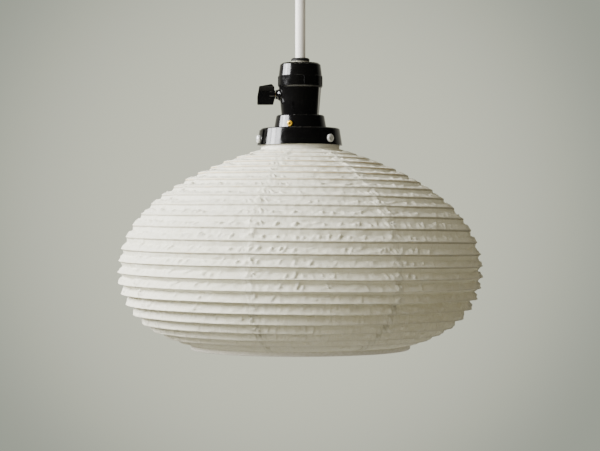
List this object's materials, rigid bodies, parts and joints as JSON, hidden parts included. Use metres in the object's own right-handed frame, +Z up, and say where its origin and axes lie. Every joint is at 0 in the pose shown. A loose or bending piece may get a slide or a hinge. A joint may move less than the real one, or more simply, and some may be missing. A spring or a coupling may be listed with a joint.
{
  "type": "paper lantern pendant lamp",
  "caption": "Flattened-round paper lantern with a helical rib, hung from a keyed lampholder with a screw-grip shade holder, on a straight cord from a ceiling fitting.",
  "frame": {"origin": "centre of the ceiling fitting's two fixing holes, on its mounting face", "axes": "+Z up out of the mounting face, +X to the right with the switch key on the -X side, front towards -Y"},
  "size_m": [0.3196, 0.3196, 0.3645],
  "materials": {
    "white_plastic": "moulded, smooth",
    "terminal_plastic": "moulded, matt",
    "brass": "bright",
    "zinc_steel": "zinc plated",
    "core_insulation": "smooth",
    "cord_sheath": "smooth, satin",
    "black_rubber": "moulded, satin",
    "fibre_washer": "pressed",
    "black_bakelite": "moulded, glossy",
    "brown_phenolic": "moulded, matt",
    "spring_bronze": "rolled strip",
    "silver_contact": "polished",
    "collar_card": "paper covered",
    "lantern_paper": "handmade, fibrous",
    "rib_bamboo": "split, satin",
    "hoop_bamboo": "split, satin",
    "binding_paper": "folded strip",
    "bulb_metal": "rolled",
    "bulb_insulation": "glazed",
    "bulb_plastic": "moulded",
    "opal_globe": "opal, satin"
  },
  "bodies": {
    "ceiling_rose": {"rose_base": "white_plastic", "rose_cover": "white_plastic", "rose_terminal_bar": "terminal_plastic", "rose_terminals": "brass", "rose_terminal_screws": "zinc_steel", "rose_cores": "core_insulation"},
    "pendant": {"cord_ball": "white_plastic", "ball_screw": "zinc_steel", "pendant_cord": "cord_sheath", "cord_grommet": "black_rubber", "grommet_washer": "fibre_washer", "cord_stop": "terminal_plastic", "socket_cores": "core_insulation", "socket_cap": "black_bakelite", "grip_ring": "black_bakelite", "socket_body": "black_bakelite", "terminal_puck": "brown_phenolic", "line_terminal": "brass", "neutral_terminal": "brass", "terminal_screws": "zinc_steel", "tie_screws": "zinc_steel", "contact_base": "brown_phenolic", "centre_contact": "spring_bronze", "switch_blade": "spring_bronze", "switch_contacts": "silver_contact", "screw_shell": "brass", "shell_rivets": "brass", "key_bush": "brass", "shade_holder": "black_bakelite", "holder_eyelet": "brass", "lock_screw": "zinc_steel", "holder_screws": "zinc_steel", "screw_bushes": "brass", "neck_ring": "collar_card", "rib_helix": "rib_bamboo", "paper_gore_1": "lantern_paper", "paper_gore_2": "lantern_paper", "paper_gore_3": "lantern_paper", "paper_gore_4": "lantern_paper", "paper_gore_5": "lantern_paper", "paper_gore_6": "lantern_paper", "paper_gore_7": "lantern_paper", "paper_gore_8": "lantern_paper"},
    "switch_key": {"key_shaft": "brass", "switch_key": "black_bakelite", "switch_cam": "brown_phenolic", "cam_pin": "zinc_steel"},
    "bulb": {"bulb_cap": "bulb_metal", "bulb_insulator": "bulb_insulation", "bulb_tip": "bulb_metal", "bulb_housing": "bulb_plastic", "led_board": "bulb_metal", "bulb_diffuser": "opal_globe"},
    "rim": {"rim_hoop": "hoop_bamboo", "rim_binding": "binding_paper"}
  },
  "joints": [
    {"name": "pendant_swing", "type": "hinge", "parent": "ceiling_rose", "child": "pendant", "pos_m": [0, 0, -0.03], "axis": [0, 1, 0], "range_deg": [-12, 12], "deforming": ["rose_cores"]},
    {"name": "key_turn", "type": "hinge", "parent": "pendant", "child": "switch_key", "pos_m": [-0.0221, 0, -0.1407], "axis": [1, 0, 0], "continuous": true},
    {"name": "bulb_screw", "type": "hinge", "parent": "pendant", "child": "bulb", "pos_m": [0, 0, -0.175], "axis": [0, 0, 1], "continuous": true},
    {"name": "lantern_fold", "type": "slide", "parent": "pendant", "child": "rim", "axis": [0, 0, 1], "range_m": [0, 0.138], "deforming": ["paper_gore_1", "paper_gore_2", "paper_gore_3", "paper_gore_4", "paper_gore_5", "paper_gore_6", "paper_gore_7", "paper_gore_8", "rib_helix"]}
  ]
}
